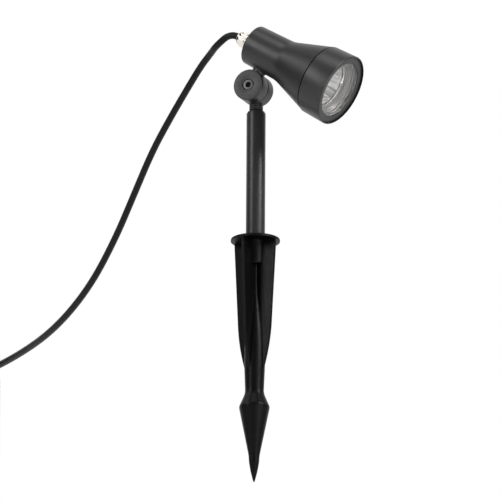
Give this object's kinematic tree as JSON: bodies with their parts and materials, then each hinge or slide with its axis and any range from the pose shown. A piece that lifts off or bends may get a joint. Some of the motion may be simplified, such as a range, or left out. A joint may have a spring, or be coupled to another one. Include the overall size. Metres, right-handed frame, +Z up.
{
  "type": "garden spike spotlight",
  "caption": "Outdoor reflector spotlight on a pole and a finned ground spike: the head tilts and pans on a two-disc knuckle, and a rubber flex leaves a gland at its back.",
  "frame": {"origin": "centre of the spike flange's underside, at ground level", "axes": "+Z up along the pole, +X the way the head aims, +Y towards the rear side of the knuckle"},
  "size_m": [0.6145, 0.4218, 0.4422],
  "materials": {
    "spike_plastic": "satin moulded",
    "graphite_paint": "satin powder coat",
    "black_nylon": "moulded",
    "black_rubber": "matte",
    "grey_silicone": "matte",
    "flex_rubber": "satin",
    "steel": "zinc plated",
    "dark_steel": "black oxide",
    "nickel": "nickel plated brass",
    "brass": "plain",
    "ceramic": "glazed ceramic",
    "terminal_plastic": "natural",
    "lead_sleeve": "glass-fibre sleeve",
    "core_insulation": "insulation",
    "earth_insulation": "insulation",
    "bright_ring": "spun",
    "reflector_glass": "faceted coating",
    "lamp_glass": "clear",
    "capsule_glass": "clear",
    "clear_glass": "tempered"
  },
  "bodies": {
    "spike": {"ground_spike": "spike_plastic", "pole": "graphite_paint", "pole_foot_plug": "black_nylon", "pole_top_insert": "black_nylon", "stem_oring": "black_rubber"},
    "stem": {"lower_knuckle": "graphite_paint", "lock_ring": "graphite_paint", "thrust_washer": "steel", "clamp_screw": "dark_steel", "spring_washer": "dark_steel", "clamp_nut": "steel", "friction_washer": "black_nylon", "cable_coil": "flex_rubber", "cable_end_cores": "core_insulation", "core_ferrules": "steel"},
    "head": {"upper_knuckle": "graphite_paint", "knuckle_bolt": "steel", "bolt_washer": "steel", "lamp_housing": "graphite_paint", "seam_oring": "black_rubber", "lamp_ring": "bright_ring", "lamp_holder": "ceramic", "holder_contacts": "brass", "holder_screws": "steel", "holder_strap": "steel", "strap_screws": "steel", "terminal_block": "terminal_plastic", "terminal_screws": "brass", "block_screw": "steel", "lamp_leads": "lead_sleeve", "supply_cores": "core_insulation", "earth_core": "earth_insulation", "earth_tag": "brass", "earth_screw": "brass", "gland_body": "nickel", "gland_oring": "black_rubber", "gland_seal": "black_rubber", "gland_nut": "nickel", "gland_locknut": "nickel", "cable_entry": "flex_rubber", "power_cable": "flex_rubber"},
    "glass_pack": {"front_glass": "clear_glass", "glass_gasket": "grey_silicone"},
    "bezel": {"bezel": "graphite_paint"},
    "lamp": {"lamp_reflector": "reflector_glass", "lamp_lens": "lamp_glass", "lamp_capsule": "capsule_glass", "lamp_base": "ceramic", "lamp_pins": "steel"}
  },
  "joints": [
    {"name": "head_pan", "type": "hinge", "parent": "spike", "child": "stem", "pos_m": [0, 0, 0.149], "axis": [0, 0, 1], "range_deg": [-175, 175]},
    {"name": "head_tilt", "type": "hinge", "parent": "stem", "child": "head", "pos_m": [0, 0, 0.149], "axis": [0, 1, 0], "range_deg": [-121.5, 48.5], "deforming": ["power_cable"]},
    {"name": "bezel_lift", "type": "slide", "parent": "head", "child": "glass_pack", "axis": [0.8526, 0, -0.5225], "range_m": [0, 0.008]},
    {"name": "bezel_turn", "type": "hinge", "parent": "glass_pack", "child": "bezel", "pos_m": [0.01881, -0.0138, 0.17969], "axis": [0.8526, 0, -0.5225], "range_deg": [0, 1915]},
    {"name": "lamp_twist", "type": "hinge", "parent": "head", "child": "lamp", "pos_m": [0.01881, -0.0138, 0.17969], "axis": [0.8526, 0, -0.5225], "range_deg": [0, 25]}
  ],
  "couplings": [
    {"joint": "bezel_lift", "follows": "bezel_turn", "m_per_rad": 0.00023873}
  ]
}
